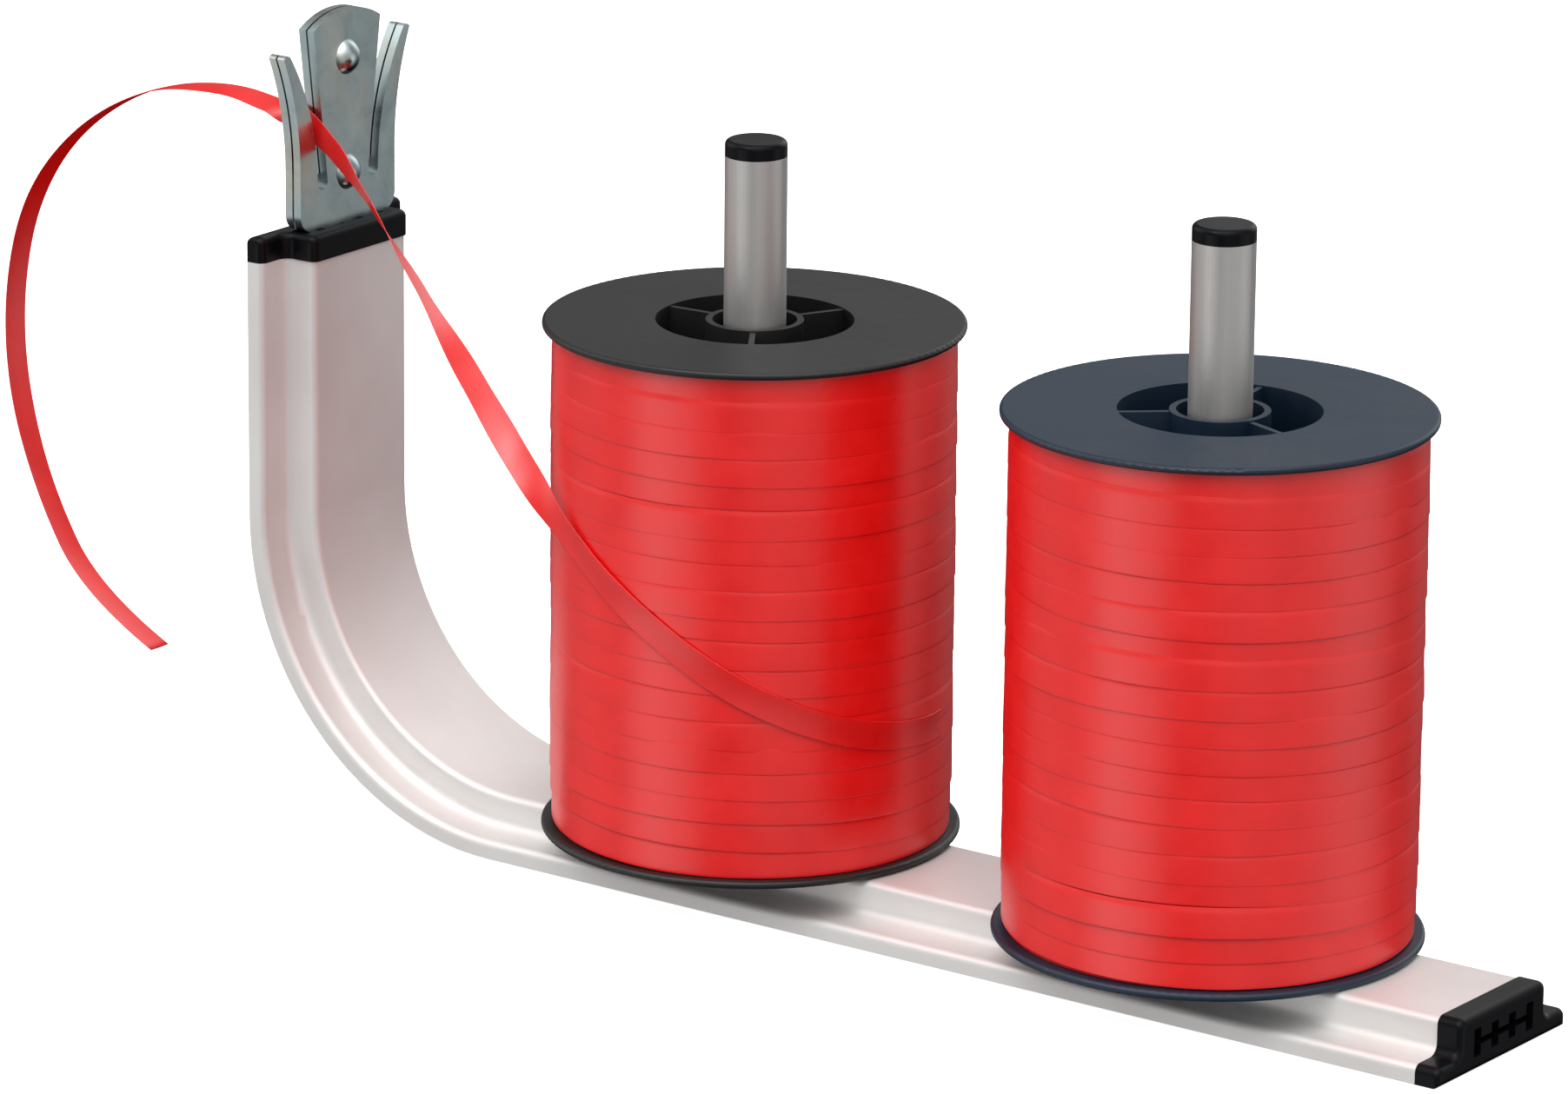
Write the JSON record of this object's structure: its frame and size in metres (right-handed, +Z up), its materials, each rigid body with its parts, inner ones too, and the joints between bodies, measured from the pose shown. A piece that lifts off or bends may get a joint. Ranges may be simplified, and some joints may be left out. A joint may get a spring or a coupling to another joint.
{
  "type": "ribbon spool dispenser",
  "caption": "Counter dispenser for curling ribbon: a bent aluminium rail carries upright spindles with turning spools, and a riveted two-prong ribbon holder with a blade tops its upright end.",
  "frame": {"origin": "middle of the length and width of the dispenser, on the surface it stands on, without the loose ribbon", "axes": "+Z up, +X from the upright towards the free end of the base, +Y across it, away from the side that the ribbon runs along"},
  "size_m": [0.4085, 0.095, 0.1858],
  "materials": {
    "rail": "satin anodised, bright",
    "black_moulding": "fine moulded matte",
    "zinc_plate": "bluish zinc plating, faintly mottled",
    "blade_steel": "ground",
    "rivet_steel": "zinc-plated, smooth",
    "steel_hardware": "zinc-plated",
    "spindle_tube": "satin anodised",
    "spool_plastic_1": "matte, faintly grained",
    "spool_plastic_2": "matte, faintly grained",
    "ribbon": "satin embossed polypropylene film"
  },
  "bodies": {
    "base": {"rail": "rail", "base_end_cap": "black_moulding", "upright_end_cap": "black_moulding", "cutter_front_plate": "zinc_plate", "cutter_rear_plate": "zinc_plate", "cutter_blade": "blade_steel", "cutter_rivet_upper": "rivet_steel", "cutter_rivet_lower": "rivet_steel", "ribbon_strand": "ribbon", "spindle_tube_1": "spindle_tube", "spindle_cap_1": "black_moulding", "spindle_insert_1": "steel_hardware", "spindle_screw_1": "steel_hardware", "spindle_washer_1": "steel_hardware", "spindle_tube_2": "spindle_tube", "spindle_cap_2": "black_moulding", "spindle_insert_2": "steel_hardware", "spindle_screw_2": "steel_hardware", "spindle_washer_2": "steel_hardware"},
    "spool_1": {"spool_upper_half_1": "spool_plastic_1", "spool_lower_half_1": "spool_plastic_1", "ribbon_winding_1": "ribbon"},
    "spool_2": {"spool_upper_half_2": "spool_plastic_2", "spool_lower_half_2": "spool_plastic_2", "ribbon_winding_2": "ribbon"}
  },
  "joints": [
    {"name": "spool_1_spin", "type": "hinge", "parent": "base", "child": "spool_1", "pos_m": [-0.0375, 0, 0.0128], "axis": [0, 0, 1], "continuous": true},
    {"name": "spool_2_spin", "type": "hinge", "parent": "base", "child": "spool_2", "pos_m": [0.0865, 0, 0.0128], "axis": [0, 0, 1], "continuous": true}
  ]
}
